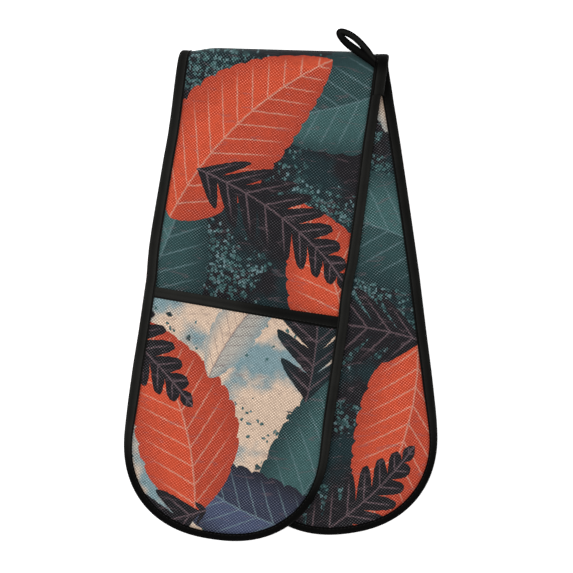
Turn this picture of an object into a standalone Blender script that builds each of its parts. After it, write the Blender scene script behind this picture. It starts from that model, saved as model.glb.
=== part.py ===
"""Double oven glove, folded over near its middle and lying flat, in metres.

One padded strip with a hand pocket at each end. The rear leg lies underneath with its pocket
facing down, and the front leg lies on top of it with its pocket facing up. The legs splay apart
from the fold. Side A is the face that carries the pockets, side B the plain one.
"""

from math import ceil, cos, pi, radians, sin, tan

import bmesh
import bpy
from mathutils import Vector

# The strip, laid out flat
strip_length = 0.867
strip_width = 0.180
end_depth = 0.091  # how far the rounded end reaches past the straight sides
end_roundness = 2.3  # 2 is an ellipse, more is squarer
splay = radians(7.95)  # each leg's turn away from square with the fold
pocket_depth = 0.2095

# The fold
fold_shift = 0.002  # how far the fold lies from the strip's middle, towards the rear leg
fold_waist = 0.0022  # how far each side is drawn in at the fold
waist_run = 0.110
corner_droop = 0.0024  # how far the fold's ends fall short of its middle
corner_run = 0.030
flare_run = 0.050  # the length over which a leg swells into the fold

# Cloth and padding of the strip
outer_cloth = 0.0006
inner_cloth = 0.0006
strip_wadding = 0.0032
edge_wadding = 0.0012  # what the binding squeezes the wadding to
crown_run = 0.018  # from the binding in to the full thickness

# Cloth and padding of a pocket
pocket_cloth = 0.0006
lining_cloth = 0.0005
pocket_wadding = 0.0018
pocket_edge_wadding = 0.0003
wadding_setback = 0.018  # from the mouth in to the wadding
mouth_run = 0.0165  # from the mouth binding in to the full thickness
hand_gap = 0.005
dome_run = 0.028  # from the seam in to the full hand gap

# Binding tape
binding_width = 0.0095
binding_cloth = 0.0005
binding_round = 0.0011
lip_run = 0.012  # the length over which the binding climbs on to a pocket's seam
lap_length = 0.028  # the tape's overlapping end beside the loop

# Hanging loop of the same tape, folded narrow
loop_reach = 0.040
loop_swell = 0.0039  # how far each strand bows out from the loop's middle line
loop_root = 0.0027  # from the middle of the root to the middle of each strand
loop_tape = 0.0046
loop_thickness = 0.0020
loop_direction = radians(136)

# Clearances
layer_gap = 0.0003  # between layers that touch
leg_gap = 0.0004  # between the two legs
weld = 0.00003

# Counts and shares
cap_segments = 12
fold_segments = 10
loop_segments = 28
flare_shares = (0.25, 0.5, 0.75, 1.0)
ring_shares = (0.0, 0.35, 0.66, 0.78, 0.885, 1.0)
pocket_ring_shares = (0.0, 0.35, 0.65, 0.8, 0.915, 1.0)
mouth_shares = (0.0, 0.35, 0.65, 0.8, 0.915, 0.996)
tape_corner_share = 0.3
loop_section_shares = (
    (1, -0.4),
    (0.7, -1),
    (-0.7, -1),
    (-1, -0.4),
    (-1, 0.4),
    (-0.7, 1),
    (0.7, 1),
    (1, 0.4),
)
sharp_angle = radians(50)

# Worked out from the sizes above
half_width = strip_width / 2
full_half = (outer_cloth + inner_cloth + strip_wadding) / 2 + layer_gap
edge_half = (outer_cloth + inner_cloth + edge_wadding) / 2 + layer_gap
pocket_half = (pocket_cloth + lining_cloth + pocket_wadding) / 2 + layer_gap
seam_half = (pocket_cloth + lining_cloth + pocket_edge_wadding) / 2 + layer_gap
mouth_half = (pocket_cloth + lining_cloth + layer_gap) / 2
seam_rise = binding_cloth + 2 * layer_gap  # room for the mouth's tape beside the seam
flat_level = leg_gap / 2 + full_half  # the strip's middle, from the plane between the legs
bend_radius = flat_level + hand_gap + 2 * pocket_half
half_bend = pi * bend_radius / 2  # half of the strip's length that lies in the fold
tape_inset = binding_cloth + layer_gap  # the cloth's edge, in from the tape's outer edge
pocket_inset = binding_width + layer_gap
plain_lip = edge_half + layer_gap
pocket_lip = plain_lip + 2 * seam_half + layer_gap
lap_growth = layer_gap + binding_cloth
loop_foot = pocket_inset + layer_gap
loop_level = bend_radius + plain_lip + lap_growth + binding_cloth + layer_gap + loop_thickness / 2


def smooth(share):
    """0 to 1 with level ends."""
    share = min(max(share, 0.0), 1.0)
    return share * share * (3 - 2 * share)


def power(value):
    """A cosine or sine raised so that the end's outline gets its roundness."""
    return abs(value) ** (2 / end_roundness) * (1 if value > 0 else -1)


def leg_level(beyond):
    """From the plane between the legs to the strip's middle, this far from the fold."""
    return flat_level + (bend_radius - flat_level) * (1 - smooth(beyond / flare_run))


def laid(across, along, offset):
    """A point of the strip where it lies, on the rear leg and round the fold.

    across and along are its place on the flat strip, from the middle of the fold, and offset is
    its height off the strip's middle, towards side A.
    """
    reach = along * cos(splay) - across * sin(splay)
    waist = fold_waist * (1 - smooth(abs(reach) / waist_run))
    x = reach * tan(splay) + across * (1 - waist / half_width) / cos(splay)
    if reach >= half_bend:
        beyond = reach - half_bend
        return Vector((x, -beyond, -leg_level(beyond) - offset))
    droop = corner_droop * (1 - smooth((half_width - abs(across)) / corner_run))
    angle = -reach / bend_radius
    radius = bend_radius + offset
    bulge = 1 - droop / (bend_radius + full_half)
    return Vector((x, radius * cos(angle) * bulge, radius * sin(angle)))


def turned_over(point):
    """The same point on the front leg."""
    return Vector((-point.x, point.y, -point.z))


def at_reach(across, reach):
    """The place along the strip that lies this far from the fold's middle line."""
    return (reach + across * sin(splay)) / cos(splay)


def finish(bm, name, material):
    """Turns the bmesh into an object with outward faces."""
    bmesh.ops.triangulate(bm, faces=bm.faces)
    bmesh.ops.recalc_face_normals(bm, faces=bm.faces)
    mesh = bpy.data.meshes.new(name)
    bm.to_mesh(mesh)
    bm.free()
    mesh.materials.append(material)
    mesh.shade_smooth()
    mesh.set_sharp_from_angle(angle=sharp_angle)
    obj = bpy.data.objects.new(name, mesh)
    bpy.context.scene.collection.objects.link(obj)
    return obj


def grid(rows, columns, place):
    """A grid of faces; place gives each point from its row and column."""
    bm = bmesh.new()
    bmesh.ops.create_grid(bm, x_segments=rows, y_segments=columns, size=1)
    for vert in bm.verts:
        row = round((vert.co.x + 1) / 2 * rows)
        column = round((vert.co.y + 1) / 2 * columns)
        vert.co = place(row, column)
    bmesh.ops.remove_doubles(bm, verts=bm.verts, dist=weld)
    bmesh.ops.dissolve_degenerate(bm, edges=bm.edges, dist=weld)
    return bm


def thicken(bm, low, high):
    """Extrudes a sheet drawn in (across, along) and lays both faces at their offsets."""
    bmesh.ops.triangulate(bm, faces=bm.faces)
    below = bm.verts[:]
    grown = bmesh.ops.extrude_face_region(bm, geom=bm.faces[:])["geom"]
    above = [item for item in grown if isinstance(item, bmesh.types.BMVert)]
    for verts, offset in ((below, low), (above, high)):
        for vert in verts:
            across, along = vert.co.x, vert.co.y
            vert.co = laid(across, along, offset(across, along))


def loft(name, rings, material):
    """Wraps a grid round closed rings of points, one after another, and caps both ends."""
    around = len(rings[0])
    bm = grid(len(rings) - 1, around, lambda row, column: rings[row][column % around])
    bmesh.ops.holes_fill(bm, edges=bm.edges, sides=0)
    return finish(bm, name, material)


def tape_section(width, low, high):
    """The folded tape's cut, as (in from its outer edge, offset), open towards the strip."""
    bottom = low - binding_cloth
    top = high + binding_cloth
    cut = binding_round * tape_corner_share
    return [
        (width, bottom),
        (binding_round, bottom),
        (cut, bottom + cut),
        (0.0, bottom + binding_round),
        (0.0, top - binding_round),
        (cut, top - cut),
        (binding_round, top),
        (width, top),
        (width, high),
        (binding_cloth, high),
        (binding_cloth, low),
        (width, low),
    ]


def mirrored(shares):
    """The shares out to both sides of the middle."""
    return [-share for share in reversed(shares[1:])] + list(shares)


class Leg:
    """One leg with its pocket. Its shapes are drawn as the rear leg lies."""

    def __init__(self, name, length):
        self.name = name
        self.length = length
        self.straight_end = length - end_depth
        self.mouth = length - pocket_depth

    def inward(self, across, along):
        """How far a point lies in from the strip's outline."""
        past = max(along - self.straight_end, 0.0) / end_depth
        ring = ((abs(across) / half_width) ** end_roundness + past**end_roundness) ** (1 / end_roundness)
        return (1 - ring) * half_width

    def strip_half(self, across, along):
        """Half the strip's thickness, drawn in towards the binding."""
        share = (self.inward(across, along) - binding_width) / crown_run
        return edge_half + (full_half - edge_half) * smooth(share)

    def dome(self, across, along):
        """0 at the pocket's seam, 1 where the pocket stands at its full height."""
        return smooth((self.inward(across, along) - pocket_inset) / dome_run)

    def pocket_middle(self, across, along):
        """The middle of the pocket's layers, off the strip's middle."""
        dome = self.dome(across, along)
        rise = seam_rise + (hand_gap - seam_rise) * dome
        half = seam_half + (pocket_half - seam_half) * dome
        return self.strip_half(across, along) + rise + half

    def pocket_thickness_half(self, across, along):
        """Half the pocket's thickness, drawn in at the seam and at the mouth."""
        half = seam_half + (pocket_half - seam_half) * self.dome(across, along)
        from_mouth = along - self.mouth - binding_width - layer_gap
        return mouth_half + (half - mouth_half) * smooth(from_mouth / mouth_run)

    def pocket_top(self, across, along):
        return self.pocket_middle(across, along) + self.pocket_thickness_half(across, along)

    def pocket_bottom(self, across, along):
        return self.pocket_middle(across, along) - self.pocket_thickness_half(across, along)

    def strip_sides(self):
        """Places along the straight side, each a function of the place across."""
        start = half_bend + layer_gap / 2
        reaches = [start] + [start + share * flare_run for share in flare_shares]
        places = [lambda across, reach=reach: at_reach(across, reach) for reach in reaches]
        for along in (self.mouth - lip_run, self.mouth):
            places.append(lambda across, along=along: along)
        return places

    def pocket_sides(self, start):
        """Places along a pocket's straight side, from its start near the mouth."""
        thinned = self.mouth + binding_width + layer_gap
        wanted = [start, thinned, self.mouth + wadding_setback, thinned + mouth_run]
        return [lambda across, along=along: along for along in wanted if along >= start]

    def station(self, sides, index, ring, inset):
        """Place (across, along) on the path down one side, round the end and up the other."""
        half = ring * (half_width - inset)
        turn = index - len(sides)
        if 0 <= turn <= cap_segments:
            angle = pi * turn / cap_segments
            past = ring * (end_depth - inset) * power(sin(angle))
            return -half * power(cos(angle)), self.straight_end + past
        if turn < 0:
            return -half, sides[index](-half)
        return half, sides[2 * len(sides) + cap_segments - index](half)

    def sheet(self, layer, sides, rings, inset, low, high, material):
        """A layer with the rounded end, between two offsets."""

        def place(row, column):
            return *self.station(sides, row, rings[column], inset), 0

        bm = grid(2 * len(sides) + cap_segments, len(rings) - 1, place)
        thicken(bm, low, high)
        return finish(bm, self.name + layer, material)

    def sweep(self, layer, sides, section, material):
        """A band along the edge, with its cut given by the place along."""
        rings = []
        for index in range(2 * len(sides) + cap_segments + 1):
            along = self.station(sides, index, 1, 0)[1]
            cut = section(along)
            rings.append([laid(*self.station(sides, index, 1, inset), offset) for inset, offset in cut])
        return loft(self.name + layer, rings, material)

    def strip_layers(self, sides, cloth, padding):
        """The leg's three layers, from side A to side B."""
        half = self.strip_half
        under = inner_cloth + layer_gap
        over = outer_cloth + layer_gap
        return [
            self.sheet(
                "outer_panel",
                sides,
                ring_shares,
                tape_inset,
                lambda a, s: half(a, s) - outer_cloth,
                half,
                cloth,
            ),
            self.sheet(
                "wadding",
                sides,
                ring_shares,
                tape_inset,
                lambda a, s: under - half(a, s),
                lambda a, s: half(a, s) - over,
                padding,
            ),
            self.sheet(
                "inner_panel",
                sides,
                ring_shares,
                tape_inset,
                lambda a, s: -half(a, s),
                lambda a, s: inner_cloth - half(a, s),
                cloth,
            ),
        ]

    def pocket_layers(self, cloth, lining, padding):
        """The pocket's three layers, from the outside to the hand."""
        top = self.pocket_top
        bottom = self.pocket_bottom
        edge = self.pocket_sides(self.mouth + tape_inset)
        back = self.pocket_sides(self.mouth + wadding_setback)
        under = lining_cloth + layer_gap
        over = pocket_cloth + layer_gap
        return [
            self.sheet(
                "pocket_panel",
                edge,
                pocket_ring_shares,
                pocket_inset,
                lambda a, s: top(a, s) - pocket_cloth,
                top,
                cloth,
            ),
            self.sheet(
                "pocket_wadding",
                back,
                pocket_ring_shares,
                pocket_inset,
                lambda a, s: bottom(a, s) + under,
                lambda a, s: top(a, s) - over,
                padding,
            ),
            self.sheet(
                "pocket_lining",
                edge,
                pocket_ring_shares,
                pocket_inset,
                bottom,
                lambda a, s: bottom(a, s) + lining_cloth,
                lining,
            ),
        ]

    def edge_binding(self, sides, tape):
        """Tape folded over the strip's edge, climbing on to the pocket's seam."""

        def section(along):
            climb = smooth((along - self.mouth + lip_run) / lip_run)
            return tape_section(binding_width, -plain_lip, plain_lip + (pocket_lip - plain_lip) * climb)

        return self.sweep("edge_binding", sides, section, tape)

    def pocket_seam(self, cloth):
        """The pocket's sewn margin, caught in the binding round three sides."""
        start = self.mouth + layer_gap
        low = plain_lip
        high = low + 2 * seam_half
        cut = [(tape_inset, low), (tape_inset, high), (binding_width, high), (binding_width, low)]
        return self.sweep("pocket_seam", [lambda across: start], lambda along: cut, cloth)

    def mouth_binding(self, tape):
        """Tape folded over the pocket's mouth."""
        outer = mouth_half + layer_gap
        rings = []
        for share in mirrored(mouth_shares):
            across = share * (half_width - pocket_inset)
            middle = self.pocket_middle(across, self.mouth + binding_width)
            section = tape_section(binding_width, middle - outer, middle + outer)
            rings.append([laid(across, self.mouth + inset, offset) for inset, offset in section])
        return loft(self.name + "pocket_binding", rings, tape)

    def pivot(self):
        """The pocket's hinge, at the tip of its top face."""
        along = self.length - pocket_inset
        return laid(0.0, along, self.pocket_top(0.0, along))


def fold_sheet(name, low, high, material):
    """A layer of the strip where it goes round the fold."""
    columns = mirrored(ring_shares)
    span = half_bend - layer_gap / 2

    def place(row, column):
        across = columns[column] * (half_width - tape_inset)
        return across, at_reach(across, span * (2 * row / fold_segments - 1)), 0

    bm = grid(fold_segments, len(columns) - 1, place)
    thicken(bm, low, high)
    return finish(bm, name, material)


def edge_ring(section, side, reach, growth):
    """The tape's cut across one edge of the strip, square with the fold."""
    ring = []
    for inset, offset in section:
        across = side * (half_width - inset + growth)
        ring.append(laid(across, at_reach(across, reach), offset))
    return ring


def fold_binding(name, side, material):
    section = tape_section(binding_width, -plain_lip, plain_lip)
    span = half_bend - layer_gap / 2
    reaches = [span * (2 * step / fold_segments - 1) for step in range(fold_segments + 1)]
    return loft(name, [edge_ring(section, side, reach, 0) for reach in reaches], material)


def binding_lap(name, material):
    """The tape's overlapping end: a short sleeve round the binding on the front leg."""
    lip = plain_lip + lap_growth
    section = tape_section(pocket_inset + lap_growth, -lip, lip)
    steps = ceil(lap_length / (flare_run * flare_shares[0]))
    rings = []
    for step in range(steps + 1):
        reach = half_bend + layer_gap + lap_length * step / steps
        rings.append([turned_over(point) for point in edge_ring(section, -1, reach, lap_growth)])
    return loft(name, rings, material)


def loop_pivot():
    """The middle of the loop's root, on its hinge beside the binding."""
    across = loop_foot - half_width
    root = turned_over(laid(across, at_reach(across, half_bend), 0.0))
    return Vector((root.x, root.y, loop_level))


def hanging_loop(name, material):
    """Narrow tape in one loop, its two ends side by side at the binding's inner edge."""
    root = loop_pivot()
    up = Vector((0, 0, 1))
    edge = Vector((sin(splay), cos(splay), 0))
    out = Vector((cos(loop_direction), sin(loop_direction), 0))
    sideways = out.cross(up)

    def middle(turn):
        bow = sideways * loop_swell * sin(2 * pi * turn)
        return root + out * loop_reach * sin(pi * turn) + bow + edge * loop_root * cos(pi * turn)

    step = 1 / loop_segments
    rings = []
    for index in range(loop_segments + 1):
        turn = index * step
        ahead = (middle(min(turn + step / 2, 1)) - middle(max(turn - step / 2, 0))).normalized()
        cut = edge if index > loop_segments / 2 else -edge
        wide = cut.lerp(up.cross(ahead), smooth(min(turn, 1 - turn) / (3 * step)))
        ring = []
        for flat, thick in loop_section_shares:
            ring.append(middle(turn) + wide * loop_tape / 2 * flat + up * loop_thickness / 2 * thick)
        rings.append(ring)
    return loft(name, rings, material)


def material(name, colour, roughness):
    made = bpy.data.materials.new(name)
    made.use_nodes = True
    shader = made.node_tree.nodes["Principled BSDF"]
    shader.inputs["Base Color"].default_value = (*colour, 1)
    shader.inputs["Roughness"].default_value = roughness
    shader.inputs["Metallic"].default_value = 0
    return made


def empty(name, parent, location):
    """An axis to hang pieces on, placed in its parent's frame."""
    made = bpy.data.objects.new(name, None)
    bpy.context.scene.collection.objects.link(made)
    made.parent = parent
    made.location = location
    return made


def hang(pieces, parent, pivot):
    """Parents the pieces to an empty that stands at the pivot, and leaves them where they lie."""
    for piece in pieces:
        piece.parent = parent
        piece.location = -pivot


def build():
    for old in list(bpy.data.objects):
        bpy.data.objects.remove(old)

    print_cloth = material("print_cloth", (0.055, 0.105, 0.115), 0.8)
    pocket_print = material("pocket_print", (0.60, 0.13, 0.07), 0.8)
    plain_lining = material("plain_lining", (0.05, 0.05, 0.055), 0.85)
    padding = material("padding", (0.80, 0.79, 0.75), 0.95)
    tape = material("tape", (0.012, 0.012, 0.013), 0.7)

    glove = empty("glove", None, (0, 0, 0))
    middle = Vector((0, 0, 0))
    legs = (
        Leg("rear_", strip_length / 2 - fold_shift),
        Leg("front_", strip_length / 2 + fold_shift),
    )
    for leg in legs:
        # The hinge of the middle fold runs through both legs' empties
        holder = empty(leg.name + "leg_axis", glove, middle)
        if leg.name == "front_":
            holder.rotation_euler = (0, pi, 0)
        sides = leg.strip_sides()
        fixed = leg.strip_layers(sides, print_cloth, padding)
        fixed += [leg.edge_binding(sides, tape), leg.pocket_seam(pocket_print)]
        hang(fixed, holder, middle)
        pocket_axis = empty(leg.name + "pocket_axis", holder, leg.pivot())
        opening = leg.pocket_layers(pocket_print, plain_lining, padding) + [leg.mouth_binding(tape)]
        hang(opening, pocket_axis, leg.pivot())

    half = legs[0].strip_half
    bent = [
        fold_sheet("fold_outer_panel", lambda a, s: half(a, 0) - outer_cloth, lambda a, s: half(a, 0), print_cloth),
        fold_sheet(
            "fold_wadding",
            lambda a, s: inner_cloth + layer_gap - half(a, 0),
            lambda a, s: half(a, 0) - outer_cloth - layer_gap,
            padding,
        ),
        fold_sheet("fold_inner_panel", lambda a, s: -half(a, 0), lambda a, s: inner_cloth - half(a, 0), print_cloth),
        fold_binding("fold_binding_left", -1, tape),
        fold_binding("fold_binding_right", 1, tape),
    ]
    hang(bent + [binding_lap("binding_lap", tape)], glove, middle)
    loop_axis = empty("loop_axis", glove, loop_pivot())
    hang([hanging_loop("hanging_loop", tape)], loop_axis, loop_pivot())

    # The glove's frame: its middle over the origin, its underside on the ground
    bpy.context.view_layer.update()
    parts = [obj for obj in bpy.data.objects if obj.type == "MESH"]
    corners = [obj.matrix_world @ Vector(corner) for obj in parts for corner in obj.bound_box]
    lowest = [min(corner[i] for corner in corners) for i in range(3)]
    highest = [max(corner[i] for corner in corners) for i in range(3)]
    glove.location = (-(lowest[0] + highest[0]) / 2, -(lowest[1] + highest[1]) / 2, -lowest[2])


build()
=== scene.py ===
from math import cos, dist, pi, radians, sin, tan

import bmesh
import bpy
import numpy as np
from mathutils import Matrix, Vector


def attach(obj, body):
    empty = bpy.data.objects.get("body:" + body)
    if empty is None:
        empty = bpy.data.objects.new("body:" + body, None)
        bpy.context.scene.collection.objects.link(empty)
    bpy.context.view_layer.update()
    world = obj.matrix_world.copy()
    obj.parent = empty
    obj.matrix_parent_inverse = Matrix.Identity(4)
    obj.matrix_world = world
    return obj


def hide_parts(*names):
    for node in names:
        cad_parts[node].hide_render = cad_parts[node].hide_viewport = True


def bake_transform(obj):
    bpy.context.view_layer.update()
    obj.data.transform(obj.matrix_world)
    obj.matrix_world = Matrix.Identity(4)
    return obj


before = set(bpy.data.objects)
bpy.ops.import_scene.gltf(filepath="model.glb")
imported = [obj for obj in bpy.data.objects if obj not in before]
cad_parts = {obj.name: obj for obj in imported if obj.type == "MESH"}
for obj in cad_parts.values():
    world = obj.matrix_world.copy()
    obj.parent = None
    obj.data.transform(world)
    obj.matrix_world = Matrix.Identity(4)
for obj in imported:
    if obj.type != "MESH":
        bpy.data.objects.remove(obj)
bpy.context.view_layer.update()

# The strip as the CAD model lays it, in metres. Side A carries the pockets, side B is plain.
strip = {
    "halfWidth": 0.090,
    "endDepth": 0.091,
    "splay": radians(7.95),
    "foldTilt": 0.025,
    "droop": {"left": 0.0030, "right": 0.0014},
    "droopRun": 0.035,
    "flareRun": 0.050,
    "flatLevel": 0.0027,
    "bendRadius": 0.0112,
    "foldMiddle": Vector((0.000277, 0.191852, 0.0137)),
    "fullHalf": 0.0025,
    "edgeHalf": 0.0015,
    "crownRun": 0.018,
    "tapeWidth": 0.0095,
    "tapeNarrowing": 0.0026,
    "lip": 0.0018,
    "pocketLip": 0.0041,
    "lipRun": 0.012,
    # where each starts, counted from the start of the rounded end, and over what length
    "narrowing": (-0.035, 0.08),
    "leaning": (-0.05, 0.07),
    "rowPower": 1.2,  # rows of points lie closer together near the fold or the mouth
}
halfBend = pi * strip["bendRadius"] / 2
weld = 0.00002

# Millimetres from the fold, and how far each edge lies in from a straight one there
edgeWaver = {
    "front": {
        "left": (
            (0, 18, 36, 80, 99, 133, 160, 178, 190, 205, 250, 280, 310, 335),
            (1.4, 1.2, 1.0, 0.8, 0.0, -0.9, -1.6, -1.6, -1.0, 0.1, 0.0, -0.6, -0.5, 0.1),
        ),
        "right": (
            (0, 18, 36, 40, 66, 85, 105, 130, 190, 206, 222, 240, 330),
            (0.6, 0.6, 0.2, 0.0, 0.0, 0.3, 0.0, -0.5, -0.6, 0.8, 0.8, 0.0, 0.4),
        ),
    },
    "rear": {
        "left": ((0, 18, 36, 100), (1.4, 1.2, 1.0, 0.0)),
        "right": (
            (0, 18, 35, 50, 66, 87, 130, 171, 203, 234, 255, 297, 318, 335, 430),
            (0.6, 0.6, 0.5, 0.8, 0.6, 0.1, -0.4, -0.7, -0.9, -0.5, -0.2, 0.0, 0.2, 0.7, 0.5),
        ),
    },
}

pocketShape = {
    "length": 0.2095,
    "inset": 0.0098,
    "domeStart": 0.0003,
    "domeRun": 0.028,
    "seamRise": 0.0011,
    "handRoom": 0.005,
    "seamHalf": 0.0010,
    "fullHalf": 0.00175,
    "mouthHalf": 0.0007,
    "mouthFlat": 0.0098,
    "mouthRun": 0.0165,
    "lining": 0.0005,
    # drawn down at its seam, and a little more where the mouth's tape meets it
    "seamSunk": 0.0010,
    "mouthSunk": 0.0013,
    "sunkStart": -0.001,
    "sunkRun": 0.006,
}
# The front mouth lies aslant and its tape widens toward one end, by the share of the half width
frontMouth = {
    "shares": (-1.0, -0.78, -0.64, -0.51, -0.24, 0.04, 0.31, 0.58, 0.86, 1.0),
    "further": (0.0018, 0.00175, 0.0017, 0.0017, 0.0015, 0.00085, 0.0, -0.00065, -0.0012, -0.00125),
    "wider": (0.0019, 0.0017, 0.0010, 0.0006, 0.0, 0.0, 0.0, 0.0, 0.0, 0.0),
    "near": 0.008,  # in full this far from the tape's middle
    "run": 0.05,  # and gone this much further on
}

# The camera looks straight down, as the photograph does
view = {
    "centre": (0.0033, -0.0014),
    "distance": 1.0,
    "frameWidth": 0.5013,
    "roll": radians(0.2),
    "sensor": 36.0,
}


def newObject(name, data):
    made = bpy.data.objects.new(name, data)
    bpy.context.scene.collection.objects.link(made)
    return made


cameraData = bpy.data.cameras.new("viewCamera")
cameraData.sensor_width = view["sensor"]
cameraData.lens = view["sensor"] * view["distance"] / view["frameWidth"]
camera = newObject("viewCamera", cameraData)
camera.location = (*view["centre"], strip["foldMiddle"].z + view["distance"])
camera.rotation_euler = (0, 0, view["roll"])
bpy.context.scene.camera = camera


def smooth(share):
    share = min(max(share, 0.0), 1.0)
    return share * share * (3 - 2 * share)


def between(first, last, share):
    return first + (last - first) * share


def reachOf(across, along):
    # how far a place on the strip lies from the fold's middle line
    return along * cos(strip["splay"]) - across * sin(strip["splay"])


def atReach(across, reach):
    # the place along the strip that lies this far from the fold's middle line
    return (reach + across * sin(strip["splay"])) / cos(strip["splay"])


def laid(across, along, offset, leg="rear"):
    # where a point of the flat strip lies, on the rear leg and round the fold
    reach = reachOf(across, along)
    side = "left" if (across < 0) == (leg == "rear") else "right"
    waver = float(np.interp(abs(reach) * 1000, *edgeWaver[leg][side])) / 1000
    x = reach * tan(strip["splay"]) + across * (1 - waver / strip["halfWidth"]) / cos(strip["splay"])
    if reach >= halfBend:
        beyond = reach - halfBend
        rise = (strip["bendRadius"] - strip["flatLevel"]) * (1 - smooth(beyond / strip["flareRun"]))
        return Vector((x, -beyond, -strip["flatLevel"] - rise - offset))
    droop = strip["droop"][side] * (1 - smooth((strip["halfWidth"] - abs(across)) / strip["droopRun"]))
    droop += strip["foldTilt"] * across
    angle = -reach / strip["bendRadius"]
    radius = strip["bendRadius"] + offset
    bulge = 1 - droop / (strip["bendRadius"] + strip["fullHalf"])
    return Vector((x, radius * cos(angle) * bulge, radius * sin(angle)))


def onFold(across, along, offset):
    return laid(across, along, offset) + strip["foldMiddle"]


class Leg:
    # one leg of the glove, with the bodies that its pieces ride on
    def __init__(self, name, length, direction, roundness, lean):
        self.name = name
        self.body = name + "_leg"
        self.pocketBody = name + "_pocket"
        self.direction = direction  # 1 where the leg's length counts up from the fold in the print
        self.length = length
        self.straightEnd = length - strip["endDepth"]
        self.mouth = length - pocketShape["length"]
        self.roundness = roundness
        self.lean = lean

    def at(self, across, along, offset):
        # where a point of the flat leg lies; the front leg is laid as the rear one, turned over
        away = abs(along - self.mouth - strip["tapeWidth"] / 2) - frontMouth["near"]
        if away < frontMouth["run"]:
            along += self.mouthShift("further", across) * (1 - smooth(away / frontMouth["run"]))
        point = laid(across, along, offset, self.name)
        if self.name == "front":
            point = Vector((-point.x, point.y, -point.z))
        point.x -= self.lean * self.towardEnd(along, *strip["leaning"])
        return point + strip["foldMiddle"]

    def towardEnd(self, along, start, run):
        return smooth((along - self.straightEnd - start) / run)

    def mouthShift(self, kind, across):
        if self.name == "rear":
            return 0.0
        return float(np.interp(across / strip["halfWidth"], frontMouth["shares"], frontMouth[kind]))

    def mouthTape(self, across):
        return strip["tapeWidth"] + self.mouthShift("wider", across)

    def tapeWidth(self, along):
        # the tape looks narrower round the end, where the pad's edge rolls up
        return strip["tapeWidth"] - strip["tapeNarrowing"] * self.towardEnd(along, *strip["narrowing"])

    def printed(self, across, along, side):
        # the same point on the flat cloth, counted from the fold; side is 1 on A and -1 on B
        return Vector((self.direction * across, self.direction * along, side))

    def fromPrint(self, across, along):
        return self.direction * across, self.direction * along

    def inward(self, across, along):
        # how far a point lies in from the strip's outline
        power = self.roundness
        past = max(along - self.straightEnd, 0.0) / strip["endDepth"]
        ring = ((abs(across) / strip["halfWidth"]) ** power + past**power) ** (1 / power)
        return (1 - ring) * strip["halfWidth"]

    def fromTape(self, across, along):
        return self.inward(across, along) - self.tapeWidth(along)

    def printFromTape(self, across, along):
        return self.fromTape(*self.fromPrint(across, along))

    def padHalf(self, across, along):
        share = smooth(self.fromTape(across, along) / strip["crownRun"])
        return between(strip["edgeHalf"], strip["fullHalf"], share)

    def place(self, row, rows, ring, inset, start):
        # (across, along) on the path down one side, round the end and up the other
        sideRows, endRows = rows
        half = ring * (strip["halfWidth"] - inset)
        if sideRows <= row <= sideRows + endRows:
            power = 2 / self.roundness
            turn = pi * (row - sideRows) / endRows
            past = ring * (strip["endDepth"] - inset) * sin(turn) ** power if 0 < turn < pi else 0.0
            return -half * abs(cos(turn)) ** power * (1 if turn < pi / 2 else -1), self.straightEnd + past
        if row < sideRows:
            half, share = -half, row / sideRows
        else:
            share = (2 * sideRows + endRows - row) / sideRows
        return half, between(start(half), self.straightEnd, share ** strip["rowPower"])

    def fromFold(self, across):
        return atReach(across, halfBend)

    # The pocket stands off the leg by the hand's room and is drawn down at its seam
    def dome(self, across, along):
        return smooth((self.fromTape(across, along) - pocketShape["domeStart"]) / pocketShape["domeRun"])

    def sunk(self, across, along, depth=pocketShape["seamSunk"]):
        rise = (self.fromTape(across, along) - pocketShape["sunkStart"]) / pocketShape["sunkRun"]
        return depth * (1 - smooth(rise))

    def pocketMiddle(self, across, along):
        dome = self.dome(across, along)
        rise = between(pocketShape["seamRise"], pocketShape["handRoom"], dome)
        half = between(pocketShape["seamHalf"], pocketShape["fullHalf"], dome)
        return self.padHalf(across, along) + rise + half

    def pocketHalf(self, across, along):
        half = between(pocketShape["seamHalf"], pocketShape["fullHalf"], self.dome(across, along))
        fromMouth = (along - self.mouth - pocketShape["mouthFlat"]) / pocketShape["mouthRun"]
        return between(pocketShape["mouthHalf"], half, smooth(fromMouth))

    def pocketTop(self, across, along):
        return self.pocketMiddle(across, along) + self.pocketHalf(across, along) - self.sunk(across, along)

    def pocketBottom(self, across, along):
        return self.pocketMiddle(across, along) - self.pocketHalf(across, along) - self.sunk(across, along)

    def mouthMiddle(self, across):
        middle = self.pocketMiddle(across, self.mouth + strip["tapeWidth"])
        return middle - self.sunk(across, self.mouth, pocketShape["mouthSunk"])

    def pocketShare(self, across, along):
        # how much of the pocket's opening a point takes part in: none at the seam, all along the middle
        ring = 1 - self.inward(across, along) / strip["halfWidth"]
        return 1 - min(ring / (1 - pocketShape["inset"] / strip["halfWidth"]), 1.0) ** 2


rearLeg = Leg("rear", length=0.4315, direction=1, roundness=2.23, lean=0.0009)
frontLeg = Leg("front", length=0.4355, direction=-1, roundness=2.3, lean=0.0)
legs = (rearLeg, frontLeg)


# Node helpers: a new node goes into the tree that the sockets given to it are in
def addNode(kind, inputs, tree=None, **settings):
    sockets = [value for value in inputs.values() if isinstance(value, bpy.types.NodeSocket)]
    tree = tree or sockets[0].id_data
    node = tree.nodes.new("ShaderNode" + kind)
    for key, value in settings.items():
        setattr(node, key, value)
    for key, value in inputs.items():
        if isinstance(value, bpy.types.NodeSocket):
            tree.links.new(value, node.inputs[key])
        else:
            node.inputs[key].default_value = value
    return node.outputs


def give(sockets, values):
    for key, value in values.items():
        value.id_data.links.new(value, sockets[key])


def setPlain(sockets, values):
    for key, value in values.items():
        sockets[key].default_value = value


def maths(operation, *values, clamp=False):
    return addNode("Math", dict(enumerate(values)), operation=operation, use_clamp=clamp)[0]


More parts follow.
